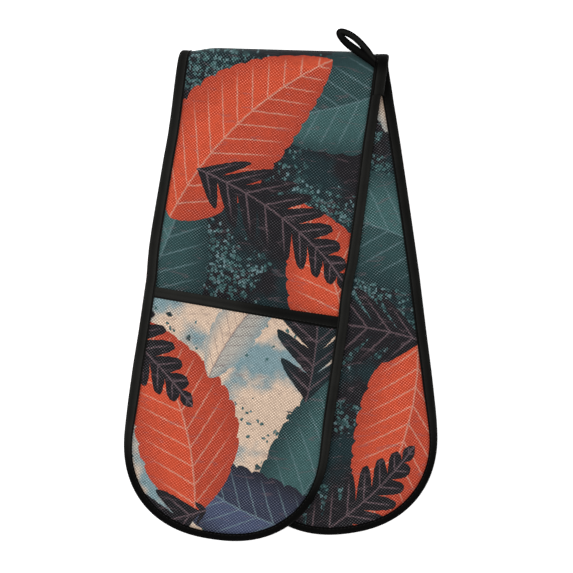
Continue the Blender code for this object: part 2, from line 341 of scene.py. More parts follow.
def times(first, second):
    return maths("MULTIPLY", first, second)


def inverse(value):
    return maths("SUBTRACT", 1.0, value)


def dimmed(value, depth):
    # 1 where the value is 1, and less by the depth where it is 0
    return maths("MULTIPLY_ADD", value, depth, 1 - depth)


def vectors(operation, *values):
    return addNode("VectorMath", dict(enumerate(values)), operation=operation)["Vector"]


def scaled(vector, factor):
    return addNode("VectorMath", {0: vector, "Scale": factor}, operation="SCALE")["Vector"]


def split(vector):
    return addNode("SeparateXYZ", {0: vector})


def mixed(factor, first, second):
    return addNode("Mix", {0: factor, 6: first, 7: second}, data_type="RGBA")[2]


def step(value, low, high):
    # 0 below low, 1 above high, with a soft edge between
    inputs = {"Value": value, "From Min": low, "From Max": high}
    return addNode("MapRange", inputs, interpolation_type="SMOOTHSTEP")[0]


def noise(vector, scale, detail=2.0, distortion=0.0):
    inputs = {"Vector": vector, "Scale": scale, "Detail": detail, "Distortion": distortion}
    return addNode("TexNoise", inputs, noise_dimensions="2D")


def wavering(vector, scale, detail, amount):
    # the same place moved a little to and fro, so that what is drawn on it isn't quite even
    away = vectors("SUBTRACT", noise(vector, scale, detail)["Color"], (0.5, 0.5, 0.5))
    return vectors("ADD", vector, scaled(away, amount))


def attribute(beside, name):
    return addNode("Attribute", {}, beside.id_data, attribute_name=name)["Fac"]


def put(group, inputs):
    return addNode("Group", inputs, node_tree=group)


def newGroup(name, inputs, outputs):
    tree = bpy.data.node_groups.new(name, "ShaderNodeTree")
    for side, sockets in (("INPUT", inputs), ("OUTPUT", outputs)):
        for socketName, kind, *value in sockets:
            socket = tree.interface.new_socket(socketName, in_out=side, socket_type="NodeSocket" + kind)
            if value:
                socket.default_value = value[0]
    return tree, tree.nodes.new("NodeGroupInput").outputs, tree.nodes.new("NodeGroupOutput").inputs


def rgb(red, green, blue):
    # a colour from screen values of 0 to 255
    linear = [(c / 255 / 12.92) if c <= 10 else ((c / 255 + 0.055) / 1.055) ** 2.4 for c in (red, green, blue)]
    return (*linear, 1.0)


# The print: one repeat of leaves over dabbed ground, in metres of flat cloth
printRepeat = {
    "size": (0.30, 0.36),
    "clouds": (22.0, 5.0),  # scale and detail
    "grain": (260.0, 3.0),
    "ragged": 0.0016,
    "darkGround": (0.42, 0.62),
    "paleGround": (0.46, 0.66),
    "dabs": ((0.0068, "deepTeal", "teal"), (0.0036, "teal", "paleBlue")),
    "dabClumps": 16.0,
    "dabPick": (0.3, 1.5),
    "grainTone": (0.4, 0.8),
    "cloudTone": (0.3, 0.85),
    "streaks": {"stretch": (1.0, 4.0, 1.0), "noise": (60.0, 6.0, 0.6), "from": (0.60, 0.72), "strength": 0.28},
    "colours": {
        "dark": rgb(32, 30, 34),
        "deepTeal": rgb(28, 46, 50),
        "teal": rgb(64, 97, 97),
        "coral": rgb(204, 82, 54),
        "deepCoral": rgb(166, 63, 46),
        "slate": rgb(75, 84, 110),
        "paleBlue": rgb(122, 147, 153),
        "cream": rgb(215, 189, 167),
        "mauve": rgb(112, 92, 98),
    },
    # centre across, centre along, turn, length, width, bend, vein spacing, lobe depth, light, shade, line, line's ink
    "leaves": (
        (0.072, -0.040, 205, 0.205, 0.096, 0.014, 0.018, 0.05, "teal", "deepTeal", "paleBlue", 0.30),
        (-0.085, -0.215, 70, 0.210, 0.096, -0.016, 0.018, 0.05, "teal", "deepTeal", "paleBlue", 0.30),
        (0.140, -0.285, 160, 0.185, 0.075, 0.012, 0.016, 0.08, "slate", "dark", "paleBlue", 0.45),
        (-0.030, -0.075, 52, 0.195, 0.098, 0.018, 0.017, 0.06, "coral", "deepCoral", "cream", 0.35),
        (0.078, -0.208, 115, 0.180, 0.090, -0.016, 0.016, 0.06, "coral", "deepCoral", "cream", 0.35),
        (-0.110, -0.330, 20, 0.150, 0.052, 0.010, 0.012, 0.10, "cream", "paleBlue", "mauve", 0.50),
        (0.020, -0.150, 330, 0.170, 0.062, 0.012, 0.019, 0.80, "dark", "dark", "mauve", 0.60),
        (-0.120, -0.090, 100, 0.190, 0.070, -0.014, 0.021, 0.80, "dark", "deepTeal", "mauve", 0.50),
        (0.020, -0.320, 190, 0.190, 0.066, 0.014, 0.020, 0.80, "dark", "dark", "mauve", 0.60),
        (0.120, -0.120, 60, 0.120, 0.040, 0.008, 0.010, 0.10, "cream", "paleBlue", "mauve", 0.50),
    ),
}
leafShape = {
    "tipPower": 0.75,
    "taper": -0.28,
    "slant": 0.9,
    "lobePower": 3.0,
    "softEdge": 0.0006,
    "midrib": (0.0004, 0.0011),
    "vein": (0.04, 0.15),
    "veinRun": (0.95, 0.45),
    "halfShade": 0.55,
    "rimShade": 0.75,
    "rimRun": (0.35, 1.1),
}
dabShape = {"wander": (190.0, 2.0, 0.005), "clumpDetail": 4.0, "clump": (0.42, 0.62), "edge": (0.30, 0.52)}
threadShape = {"under": 0.5, "knotPower": 0.4, "fleck": (700.0, 2.0)}


def leafMotif():
    # one leaf of the repeat, laid over the colour below it
    tree, given, made = newGroup(
        "leafMotif",
        [
            ("Vector", "Vector"), ("Under", "Color"), ("Centre", "Vector"), ("Turn", "Float"),
            ("Length", "Float", 0.2), ("Width", "Float", 0.1), ("Bend", "Float", 0.01),
            ("Spacing", "Float", 0.02), ("Depth", "Float", 0.05),
            ("Light", "Color"), ("Shade", "Color"), ("Line", "Color"), ("Ink", "Float", 0.4),
        ],
        [("Color", "Color")],
    )
    wide, long = printRepeat["size"]
    away = vectors("SUBTRACT", given["Vector"], given["Centre"])
    local = vectors("WRAP", away, (wide / 2, long / 2, 1.0), (-wide / 2, -long / 2, -1.0))
    turned = addNode("VectorRotate", {"Vector": local, "Angle": given["Turn"]}, rotation_type="Z_AXIS")[0]
    x, y, _ = split(turned)
    along = maths("DIVIDE", x, times(given["Length"], 0.5))
    ends = times(along, along)
    y = maths("MULTIPLY_ADD", ends, given["Bend"], y)
    off = maths("ABSOLUTE", y)
    body = maths("POWER", maths("SUBTRACT", 1.0, ends, clamp=True), leafShape["tipPower"])
    body = times(body, maths("MULTIPLY_ADD", along, leafShape["taper"], 1.0))
    body = times(body, times(given["Width"], 0.5))

    # Side veins run slantwise, one to each lobe of the rim
    halfSpacing = times(given["Spacing"], 0.5)
    slanted = maths("MULTIPLY_ADD", off, -leafShape["slant"], x)
    lobe = maths("DIVIDE", maths("PINGPONG", slanted, halfSpacing), halfSpacing)
    cut = times(maths("POWER", lobe, leafShape["lobePower"]), given["Depth"])
    rim = times(body, inverse(cut))
    soft, shade = leafShape["softEdge"], leafShape["halfShade"]
    mask = step(maths("SUBTRACT", rim, off), 0.0, soft)
    middle = inverse(step(off, *leafShape["midrib"]))
    vein = inverse(step(lobe, *leafShape["vein"]))
    fade = maths("DIVIDE", off, maths("MAXIMUM", body, 0.0001), clamp=True)
    veins = maths("MAXIMUM", middle, times(vein, step(fade, *leafShape["veinRun"])))

    half = maths("MULTIPLY_ADD", step(y, -soft, soft), -shade, shade)
    face = mixed(half, given["Light"], given["Shade"])
    face = mixed(times(step(fade, *leafShape["rimRun"]), leafShape["rimShade"]), face, given["Shade"])
    face = mixed(times(veins, given["Ink"]), face, given["Line"])
    give(made, {"Color": mixed(mask, given["Under"], face)})
    return tree


def brushDabs():
    # short dabs of a dry brush, thick in some places and thin in others
    tree, given, made = newGroup(
        "brushDabs",
        [("Vector", "Vector"), ("Size", "Float", 0.004), ("Cover", "Float", 0.4), ("Clumps", "Float", 14.0)],
        [("Mask", "Float"), ("Pick", "Float")],
    )
    inputs = {"Vector": wavering(given["Vector"], *dabShape["wander"]), "Scale": maths("DIVIDE", 1.0, given["Size"])}
    cells = addNode("TexVoronoi", inputs, voronoi_dimensions="2D")
    chances = addNode("SeparateColor", {0: cells["Color"]})
    clumps = noise(given["Vector"], given["Clumps"], dabShape["clumpDetail"])["Fac"]
    kept = maths("LESS_THAN", chances[0], times(given["Cover"], step(clumps, *dabShape["clump"])))
    inside = inverse(step(cells["Distance"], *dabShape["edge"]))
    give(made, {"Mask": times(kept, inside), "Pick": chances[1]})
    return tree


def leafPrint(motif, dabs):
    # ground of clouds and dabs, dark or pale, with the leaves of the repeat over it
    tree, given, made = newGroup(
        "leafPrint",
        [("Vector", "Vector"), ("Pale", "Float", 0.0), ("Dabs", "Float", 0.6)],
        [("Color", "Color"), ("Ink", "Float")],
    )
    colours, place = printRepeat["colours"], given["Vector"]
    clouds = noise(place, *printRepeat["clouds"])["Fac"]
    grain = noise(place, *printRepeat["grain"])["Fac"]
    dark = mixed(step(clouds, *printRepeat["darkGround"]), colours["dark"], colours["deepTeal"])
    pale = mixed(step(clouds, *printRepeat["paleGround"]), colours["cream"], colours["paleBlue"])
    colour = mixed(given["Pale"], dark, pale)
    for size, dull, bright in printRepeat["dabs"]:
        inputs = {"Vector": place, "Size": size, "Cover": given["Dabs"], "Clumps": printRepeat["dabClumps"]}
        strewn = put(dabs, inputs)
        dabColour = mixed(step(strewn["Pick"], *printRepeat["dabPick"]), colours[dull], colours[bright])
        colour = mixed(strewn["Mask"], colour, dabColour)
    wavy = wavering(place, *printRepeat["grain"], printRepeat["ragged"])
    for across, along, turn, *shape, light, shade, line, ink in printRepeat["leaves"]:
        leaf = dict(zip(("Length", "Width", "Bend", "Spacing", "Depth"), shape))
        leaf.update(Vector=wavy, Under=colour, Centre=(across, along, 0.0), Turn=radians(-turn))
        leaf.update(Light=colours[light], Shade=colours[shade], Line=colours[line], Ink=ink)
        colour = put(motif, leaf)["Color"]

    # A dry brush leaves fine streaks and thin places
    streaks = printRepeat["streaks"]
    streak = noise(vectors("MULTIPLY", place, streaks["stretch"]), *streaks["noise"])["Fac"]
    colour = mixed(times(step(streak, *streaks["from"]), streaks["strength"]), colour, colours["mauve"])
    tone = maths("MULTIPLY_ADD", grain, *printRepeat["grainTone"])
    tone = times(tone, maths("MULTIPLY_ADD", clouds, *printRepeat["cloudTone"]))
    give(made, {"Color": scaled(colour, tone), "Ink": grain})
    return tree


def plainWeave():
    # threads over and under each other; Knots are the tops of the crossing threads
    tree, given, made = newGroup(
        "plainWeave",
        [("Vector", "Vector"), ("Pitch", "Vector", (0.001, 0.001, 1.0))],
        [("Height", "Float"), ("Knots", "Float")],
    )
    x, y, _ = split(vectors("DIVIDE", given["Vector"], given["Pitch"]))
    over = maths("FLOORED_MODULO", maths("ADD", maths("FLOOR", x), maths("FLOOR", y)), 2.0)
    humps = []
    for value in (x, y):
        centred = maths("SUBTRACT", times(maths("FRACT", value), 2.0), 1.0)
        humps.append(inverse(times(centred, centred)))
    warp = times(humps[0], dimmed(humps[1], threadShape["under"]))
    weft = times(humps[1], dimmed(humps[0], threadShape["under"]))
    height = addNode("Mix", {0: over, 2: warp, 3: weft}, data_type="FLOAT")[0]
    knots = times(maths("POWER", times(humps[0], humps[1]), threadShape["knotPower"]), over)
    give(made, {"Height": height, "Knots": knots})
    return tree


def twillRibs():
    # slanting ribs of a woven tape
    tree, given, made = newGroup(
        "twillRibs",
        [("Vector", "Vector"), ("Pitch", "Float", 0.0007)],
        [("Height", "Float"), ("Fleck", "Float")],
    )
    x, y, _ = split(given["Vector"])
    slanted = maths("DIVIDE", maths("ADD", x, y), given["Pitch"])
    rib = times(maths("PINGPONG", slanted, 0.5), 2.0)
    give(made, {"Height": rib, "Fleck": noise(given["Vector"], *threadShape["fleck"])["Fac"]})
    return tree


print("building materials")
weaveGroup = plainWeave()
ribGroup = twillRibs()
printGroup = leafPrint(leafMotif(), brushDabs())


clothFinish = {"sheenRoughness": 0.5, "roughSpan": 0.2}


def newMaterial(name, look):
    material = bpy.data.materials.new(name)
    material.use_nodes = True
    shader = material.node_tree.nodes["Principled BSDF"]
    plain = {"Sheen Weight": look["sheen"], "Specular IOR Level": look["gloss"]}
    setPlain(shader.inputs, {**plain, "Sheen Roughness": clothFinish["sheenRoughness"]})
    return material, shader, addNode("UVMap", {}, material.node_tree, uv_map="cloth")["UV"]


def finishLook(shader, look, colour, grain, height):
    # roughness varies with the grain, and the threads stand up a little
    strength, distance = look["bump"]
    span = clothFinish["roughSpan"]
    rough = maths("MULTIPLY_ADD", grain, span, look["roughness"] - span / 2)
    bump = addNode("Bump", {"Strength": strength, "Distance": distance, "Height": height})[0]
    give(shader.inputs, {"Base Color": colour, "Roughness": rough, "Normal": bump})


def printedCanvas(name, look):
    material, shader, place = newMaterial(name, look)
    design = put(printGroup, {"Vector": place, "Pale": look["pale"], "Dabs": look["dabs"]})
    # the threads wander a little from straight lines
    weave = put(weaveGroup, {"Vector": wavering(place, *look["wander"]), "Pitch": look["pitch"]})
    # their tops are paler, less where the ink is thick, and the gaps darker with painted shade
    thin = dimmed(step(noise(place, *look["thinInk"])["Fac"], *look["thinRun"]), look["thinDepth"])
    patchy = step(noise(place, *look["patches"])["Fac"], *look["patchRun"])
    thin = times(thin, maths("MULTIPLY_ADD", patchy, *look["patchShow"]))
    fleck = times(maths("SUBTRACT", weave["Knots"], look["knotMean"]), look["knotShow"])
    # and not at all where the cloth is worn smooth round the fold, which also takes painted shade there
    across, along, _ = split(place)
    clear = step(maths("ABSOLUTE", along), *look["smoothFold"])
    clear = maths("MAXIMUM", clear, maths("GREATER_THAN", across, strip["halfWidth"] * 2))
    # added as the eye sees it, so that dark ink is flecked no more than pale ink
    seen = addNode("Gamma", {0: design["Color"], 1: 1 / look["eye"]})[0]
    seen = vectors("ADD", seen, times(times(fleck, thin), clear))
    seen = vectors("MAXIMUM", seen, look["thickestInk"])
    colour = addNode("Gamma", {0: seen, 1: look["eye"]})[0]
    # painted shade: darker in the gaps between the threads and round the fold
    shadow = times(dimmed(weave["Height"], look["gapShadeDepth"]), dimmed(clear, look["foldShadeDepth"]))
    # painted shade on the canvas beside the binding, where the cloth dips into the seam
    beside = step(attribute(place, "fromTape"), *look["seamRun"])
    colour = scaled(colour, times(shadow, dimmed(beside, look["seamShade"])))
    finishLook(shader, look, colour, design["Ink"], times(weave["Height"], dimmed(clear, look["wornFlat"])))
    return material


def wovenTape(name, look):
    # painted shade and light: darkest in the stitched groove by its inner edge, palest toward its folded edge, paler
    # on the ribs' tops, and scaled by each place's painted light
    material, shader, place = newMaterial(name, look)
    ribs = put(ribGroup, {"Vector": place, "Pitch": look["pitch"]})
    broad = maths("MULTIPLY_ADD", noise(place, *look["broad"])["Fac"], *look["broadTone"])
    bands = addNode("ValToRGB", {0: maths("DIVIDE", split(place)[0], look["bandWidth"])})[0]
    ramp = bands.node.color_ramp.elements
    for number, (spot, value) in enumerate(look["bands"]):
        stop = ramp[number] if number < 2 else ramp.new(spot)
        stop.position, stop.color = spot, (value, value, value, 1.0)
    tone = maths("MULTIPLY_ADD", ribs["Height"], look["ribShow"], broad)
    tone = times(tone, times(bands, attribute(place, "rubbed")))
    finishLook(shader, look, mixed(tone, look["dark"], look["light"]), ribs["Fleck"], ribs["Height"])
    return material


def plainCloth(name, look):
    material, shader, place = newMaterial(name, look)
    weave = put(weaveGroup, {"Vector": place, "Pitch": look["pitch"]})
    broad = noise(place, *look["broad"])["Fac"]
    # the threads' tops paler and the gaps darker, as painted light and shade
    tone = maths("ADD", times(weave["Height"], look["weaveShow"]), times(broad, look["broadShow"]))
    finishLook(shader, look, mixed(tone, look["dark"], look["light"]), broad, weave["Height"])
    return material


canvasLook = {
    "roughness": 0.8,
    "sheen": 0.03,
    "gloss": 0.12,
    "bump": (0.5, 0.0004),
    "pitch": (0.00145, 0.00131, 1.0),
    "eye": 2.2,
    "wander": (110.0, 2.0, 0.0010),
    "knotShow": 0.23,
    "knotMean": 0.38,
    "thinInk": (18.0, 3.0),  # scale and detail
    "thinRun": (0.30, 0.62),
    "thinDepth": 0.4,
    "patches": (150.0, 3.0),
    "patchRun": (0.30, 0.70),
    "patchShow": (0.9, 0.55),
    "thickestInk": (0.04, 0.04, 0.04),
    "gapShadeDepth": 0.24,
    "foldShadeDepth": 0.14,
    "wornFlat": 0.8,
    "smoothFold": (0.012, 0.020),
    "seamRun": (-0.001, 0.003),
    "seamShade": 0.38,
}
stripCanvas = printedCanvas("stripPrint", {**canvasLook, "pale": 0.0, "dabs": 0.75})
pocketCanvas = printedCanvas("pocketPrint", {**canvasLook, "pale": 1.0, "dabs": 0.15})
tapeLook = {
    "roughness": 0.6,
    "sheen": 0.0,
    "gloss": 0.02,
    "bump": (0.5, 0.0002),
    "pitch": 0.0007,
    "dark": rgb(3, 3, 3),
    "light": rgb(38, 38, 36),
    "broad": (45.0, 3.0),
    "broadTone": (0.8, 0.65),
    "ribShow": 0.4,
    "bandWidth": 0.0115,
    # share of the band's width, and how pale
    "bands": (
        (0.0, 0.45), (1.0, 0.30), (0.06, 0.45), (0.125, 0.0), (0.20, 0.95),
        (0.32, 0.62), (0.52, 0.42), (0.66, 0.52), (0.82, 0.60),
    ),
}
tapeCloth = wovenTape("bindingTape", tapeLook)
threadLook = {**tapeLook, "gloss": 0.2, "pitch": 0.0005, "dark": rgb(10, 10, 9), "light": rgb(34, 33, 33)}
threadTwist = wovenTape("stitchThread", threadLook)
liningLook = {
    "roughness": 0.85,
    "sheen": 0.05,
    "gloss": 0.12,
    "bump": (0.4, 0.0002),
    "pitch": (0.0006, 0.0006, 1.0),
    "dark": rgb(26, 26, 29),
    "light": rgb(54, 54, 58),
    "broad": (30.0, 4.0),
    "broadShow": 0.5,
    "weaveShow": 0.5,
}
liningCloth = plainCloth("pocketLining", liningLook)


# Cloth made from a grid: place gives each point and its place on the flat cloth
def clothGrid(rows, columns, place):
    bm = bmesh.new()
    flat = bm.verts.layers.float_vector.new("flat")
    bmesh.ops.create_grid(bm, x_segments=rows, y_segments=columns, size=1)
    for vert in bm.verts:
        row = round((vert.co.x + 1) / 2 * rows)
        column = round((vert.co.y + 1) / 2 * columns)
        vert.co, vert[flat] = place(row, column)
    bmesh.ops.remove_doubles(bm, verts=bm.verts, dist=weld)
    bmesh.ops.dissolve_degenerate(bm, edges=bm.edges, dist=weld)
    return bm


def finishPiece(bm, name, material, sideShift=(0.0, 0.0), sharp=50):
    # side B takes its print from another part of the cloth
    bmesh.ops.holes_fill(bm, edges=bm.edges, sides=0)
    bmesh.ops.recalc_face_normals(bm, faces=bm.faces)
    flat = bm.verts.layers.float_vector["flat"]
    uv = bm.loops.layers.uv.new("cloth")
    for face in bm.faces:
        side = sum(vert[flat].z for vert in face.verts)
        for loop in face.loops:
            across, along, _ = loop.vert[flat]
            loop[uv].uv = (across, along) if side > 0 else (across + sideShift[0], along + sideShift[1])
    mesh = bpy.data.meshes.new(name)
    bm.to_mesh(mesh)
    bm.free()
    mesh.materials.append(material)
    mesh.shade_smooth()
    mesh.set_sharp_from_angle(angle=radians(sharp))
    return newObject(name, mesh)


def flatPlaces(piece):
    places = np.zeros(len(piece.data.vertices) * 3, np.float32)
    piece.data.attributes["flat"].data.foreach_get("vector", places)
    return places.reshape(-1, 3)


def mark(piece, name, values):
    layer = piece.data.attributes.new(name, "FLOAT", "POINT")
    layer.data.foreach_set("value", np.array(values, np.float32))


def markSeam(piece, fromTape):
    # how far each point lies in from the binding, for painted shade on the canvas beside it
    mark(piece, "fromTape", [fromTape(across, along) for across, along, _ in flatPlaces(piece)])


def paintedLightPiece(bm, name, material, sharp=50):
    # a piece of tape or thread, whose flat place says last how much painted light it takes
    piece = finishPiece(bm, name, material, sharp=sharp)
    mark(piece, "rubbed", flatPlaces(piece)[:, 2])
    return piece


def sweep(name, rings):
    # a tape's closed cut carried along a path, with both ends filled
    around = len(rings[0])
    bm = clothGrid(len(rings) - 1, around, lambda row, column: rings[row][column % around])
    return paintedLightPiece(bm, name, tapeCloth)


def runningLengths(points):
    # how far along their path each point lies
    lengths = [0.0]
    for before, after in zip(points, points[1:]):
        lengths.append(lengths[-1] + dist(before, after))
    return lengths


def dropFlat(piece):
    piece.data.attributes.remove(piece.data.attributes["flat"])


def nameSlot(piece, nodes):
    if nodes:
        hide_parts(*nodes)


def rideOn(piece, body, slotName, *nodes):
    dropFlat(piece)
    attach(piece, body)
    nameSlot(piece, nodes)


def blendBy(piece, first, second, start, end, share, slotName, *nodes):
    # each point's own share of the second body's motion is worked out, but nothing moves the piece with it; it is
    # baked where it lies
    shares = [share(across, along) for across, along, _ in flatPlaces(piece)]
    dropFlat(piece)
    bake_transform(piece)
    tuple(start)
    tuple(end)
    nameSlot(piece, nodes)


def puff(piece, held, limit, cloth):
    # a cloth simulation fills the pad a little; limit says how far each point may move
    group = piece.vertex_groups.new(name="held")
    group.add([i for i, isHeld in enumerate(held) if isHeld], 1.0, "REPLACE")
    modifier = piece.modifiers.new("Cloth", "CLOTH")
    settings = modifier.settings
    settings.vertex_group_mass = "held"
    settings.shrink_min = -cloth["slack"]
    settings.use_pressure = True
    settings.uniform_pressure_force = cloth["pressure"]
    settings.bending_stiffness = cloth["bending"]
    settings.quality = 4
    settings.effector_weights.gravity = 0.0
    modifier.point_cache.frame_end = cloth["frames"]
    scene = bpy.context.scene
    for number in range(1, cloth["frames"] + 1):
        scene.frame_set(number)
    evaluated = piece.evaluated_get(bpy.context.evaluated_depsgraph_get())
    count = len(piece.data.vertices)
    rest, moved = np.zeros(count * 3, np.float32), np.zeros(count * 3, np.float32)
    piece.data.vertices.foreach_get("co", rest)
    evaluated.data.vertices.foreach_get("co", moved)
    rest, moved = rest.reshape(-1, 3), moved.reshape(-1, 3)
    shift = moved - rest
    far = np.linalg.norm(shift, axis=1)
    limits = np.array(limit, np.float32)
    shift *= (limits / np.sqrt(limits**2 + far**2 + 1e-12))[:, None]
    piece.modifiers.remove(modifier)
    piece.vertex_groups.remove(group)
    scene.frame_set(1)
    piece.data.vertices.foreach_set("co", (rest + shift).ravel())
    piece.data.update()
    print(f"{piece.name} settled, {far.max() * 1000:.2f} mm at most before the limit")


# Legs: a padded sheet each, from the fold to the rounded end
padDetail = {
    "rings": 26,
    "ringPower": 1.25,
    "rim": (0.4, -0.4),  # where the rim's own points lie, between the faces at 1 and -1
    "sideRows": 96,
    "endRows": 80,
    "rimInset": 0.0022,
    "foldRows": 40,
    "foldCrowding": 0.75,
    "sideShift": (0.62, 0.155),
}
padCloth = {
    "slack": 0.006,
    "pressure": 0.8,
    "bending": 0.4,
    "frames": 20,
    "limit": 0.0012,
    "edgeRun": 0.008,
    "foldHeld": 0.004,
    "foldRun": 0.020,
    "clearRun": 0.006,
}


def crowdedRings(detail):
    # from the middle to the rim, closer together near the binding
    count = detail["rings"]
    return [1 - (1 - i / count) ** detail["ringPower"] for i in range(count + 1)]


def bothFaces(rings, rim):
    over, back = [(ring, 1.0) for ring in rings], [(ring, -1.0) for ring in reversed(rings)]
    return over + [(1.0, height) for height in rim] + back


def legSheet(leg, name, material, detail, start, height, sideShift=(0.0, 0.0)):
    # a closed sheet of two faces inside the leg's outline
    columns = bothFaces(crowdedRings(detail), detail["rim"])
    rows = (detail["sideRows"], detail["endRows"])

    def place(row, column):
        ring, side = columns[column]
        across, along = leg.place(row, rows, ring, detail["rimInset"], start)
        return leg.at(across, along, height(across, along, side)), leg.printed(across, along, side)

    bm = clothGrid(2 * rows[0] + rows[1], len(columns) - 1, place)
    return finishPiece(bm, name, material, sideShift)


def legPad(leg):
    def height(across, along, side):
        return side * leg.padHalf(across, along)

    return legSheet(leg, leg.name + "Pad", stripCanvas, padDetail, leg.fromFold, height, padDetail["sideShift"])


def covered(leg, across, along):
    # 1 where the other leg lies against side B, 0 well clear of it
    other = frontLeg if leg is rearLeg else rearLeg
    point = laid(across, along, 0.0)
    reach = halfBend - point.y
    theirAcross = -point.x * cos(strip["splay"]) - reach * sin(strip["splay"])
    theirInward = other.inward(theirAcross, atReach(theirAcross, reach))
    return smooth((theirInward + padCloth["clearRun"]) / padCloth["clearRun"])


for leg in legs:
    pad = legPad(leg)
    held, limits = [], []
    for printAcross, printAlong, side in flatPlaces(pad):
        across, along = leg.fromPrint(printAcross, printAlong)
        fromEdge = leg.fromTape(across, along)
        fromFold = along - leg.fromFold(across)
        free = smooth(fromEdge / padCloth["edgeRun"]) * smooth(fromFold / padCloth["foldRun"])
        if side < 0:
            free *= 1 - covered(leg, across, along)
        held.append(fromEdge < 0 or fromFold < padCloth["foldHeld"])
        limits.append(padCloth["limit"] * free)
    puff(pad, held, limits, padCloth)
    markSeam(pad, leg.printFromTape)
    layers = [f"{leg.name}_{layer}" for layer in ("outer_panel", "wadding", "inner_panel")]
    rideOn(pad, leg.body, "strip_print", *layers)
print("legs made")


# The fold between the legs, as it lies with the glove folded
def foldPad():
    rings = crowdedRings(padDetail)
    both = [-ring for ring in reversed(rings[1:])] + rings
    columns = bothFaces(both, padDetail["rim"]) + [(-1.0, -height) for height in padDetail["rim"]]

    def place(row, column):
        ring, side = columns[column % len(columns)]
        across = ring * (strip["halfWidth"] - padDetail["rimInset"])
        along = atReach(across, foldReach(row))
        return onFold(across, along, side * rearLeg.padHalf(across, 0.0)), Vector((across, along, side))

    bm = clothGrid(padDetail["foldRows"], len(columns), place)
    return finishPiece(bm, "foldPad", stripCanvas, padDetail["sideShift"])


def foldReach(row):
    # closer together at both ends, where the fold runs out flat
    share = row / padDetail["foldRows"]
    return halfBend * (2 * (share - sin(2 * pi * share) / (2 * pi) * padDetail["foldCrowding"]) - 1)


def reachShare(across, reach):
    # the front leg's share of the turn, from how far round the bend a point lies
    return min(max(0.5 - reach / (2 * halfBend), 0.0), 1.0)


def foldShare(across, along):
    return reachShare(across, reachOf(across, along))


def blendFold(piece, share, slotName, *nodes):
    middle = strip["foldMiddle"]
    start, end = (middle.x, middle.y, 0.0), (middle.x, middle.y, 2 * middle.z)
    blendBy(piece, "rear_leg", "front_leg", start, end, share, slotName, *nodes)


fold = foldPad()
markSeam(fold, lambda across, along: strip["halfWidth"] - abs(across) - strip["tapeWidth"])
blendFold(fold, foldShare, "strip_print", "fold_outer_panel", "fold_wadding", "fold_inner_panel")
print("fold made")


# Binding tape, folded over the edge and stitched near its inner edge
binding = {
    "cloth": 0.0005,
    "round": 0.0030,
    "roundMost": 0.36,  # of the tape's width
    "roundness": 0.87,
    "roundSteps": 7,
    "innerEdge": 0.0013,
    "crown": 0.00028,
    "rows": (110, 96),  # along each side and round the end
    # how much painted light, with painted shade where it is low: at the fold and further down each leg, round the
    # ends, and over a mouth
    "rubbed": {"front": (0.7, 1.0), "rear": (0.1, 0.55), "end": 0.12, "mouth": (0.38, 1.55)},
    "paintedLightRun": (0.02, 0.09),
    "paintedLightEnd": (0.0, 0.05),
    # share of the width in from the outer edge, and height over the tape's level
    "profile": (
        (0.40, 0.00032), (0.52, 0.00026), (0.63, 0.00010), (0.71, -0.00006),
        (0.77, -0.00022), (0.80, -0.00030), (0.835, -0.00018), (0.885, 0.00002),
        (0.935, 0.00002), (0.975, -0.00012), (1.0, -0.00042),
    ),
}
stitches = {
    "pitch": 0.0034,
    "length": 0.0026,
    "width": 0.00055,
    "height": 0.00022,
    "sink": 0.00022,
    "line": 0.8,  # share of the tape's width, in from its outer edge
}


def tapeCut(width, low, high, edgeRound=binding["round"]):
    # (in from the outer edge, offset) round the folded tape, with the join inside
    edgeRound = min(edgeRound, binding["roundMost"] * width)
    bottom, top = low - binding["cloth"], high + binding["cloth"]
    middle, half = (bottom + top) / 2, (top - bottom) / 2 + binding["crown"]
    lower = [(share * width, bottom - lift) for share, lift in binding["profile"]]
    upper = [(share * width, top + lift) for share, lift in binding["profile"]]
    turns = [-pi / 2 + pi * i / (2 * binding["roundSteps"]) for i in range(2 * binding["roundSteps"] + 1)]
    power = binding["roundness"]
    edge = [
        (edgeRound * (1 - cos(a) ** power), middle + half * abs(sin(a)) ** power * (1 if a > 0 else -1))
        for a in turns[1:-1]
    ]
    edge = [(edgeRound, middle - half)] + edge + [(edgeRound, middle + half)]
    inner = [(width, high), (binding["innerEdge"], high), (binding["innerEdge"], low), (width, low)]
    return lower[::-1] + edge + upper + inner


def tapePiece(name, count, spot):
    # spot gives a ring's cut, what finds its points, how far along it lies and how much painted light it takes
    rings = []
    hiddenPoints = 4  # the last ones of each cut, where the tape meets the pad
    for number in range(count + 1):
        cut, at, ahead, rubbed = spot(number)
        # the place on the flat tape is counted in from the nearer of its two inner edges
        travelled = runningLengths(cut)
        whole = travelled[-hiddenPoints - 1]
        stretch = strip["tapeWidth"] / cut[0][0]
        places = [Vector((min(far, abs(whole - far)) * stretch, ahead, rubbed)) for far in travelled]
        rings.append([(at(*point), place) for point, place in zip(cut, places)])
    return sweep(name, rings)


def stitchLine(bm, path):
    # short raised stitches along a path of (point, outward direction, flat place)
    flat = bm.verts.layers.float_vector["flat"]
    lengths = runningLengths([point for point, out, place in path])
    count = int(lengths[-1] / stitches["pitch"])
    span = 0
    for number in range(count):
        wanted = (number + 0.5) * lengths[-1] / count
        while lengths[span + 1] < wanted:
            span += 1
        share = (wanted - lengths[span]) / (lengths[span + 1] - lengths[span])
        (point, out, place), (nextPoint, nextOut, nextPlace) = path[span : span + 2]
        ahead = (nextPoint - point).normalized()
        sideways = out.lerp(nextOut, share).normalized().cross(ahead).normalized()
        turn = Matrix((ahead, sideways, ahead.cross(sideways))).transposed().to_4x4()
        size = Matrix.Diagonal((stitches["length"] / 2, stitches["width"] / 2, stitches["height"], 1.0))
        matrix = Matrix.Translation(point.lerp(nextPoint, share)) @ turn @ size
        made = bmesh.ops.create_icosphere(bm, subdivisions=1, radius=1.0, matrix=matrix)
        for vert in made["verts"]:
            vert[flat] = place.lerp(nextPlace, share)


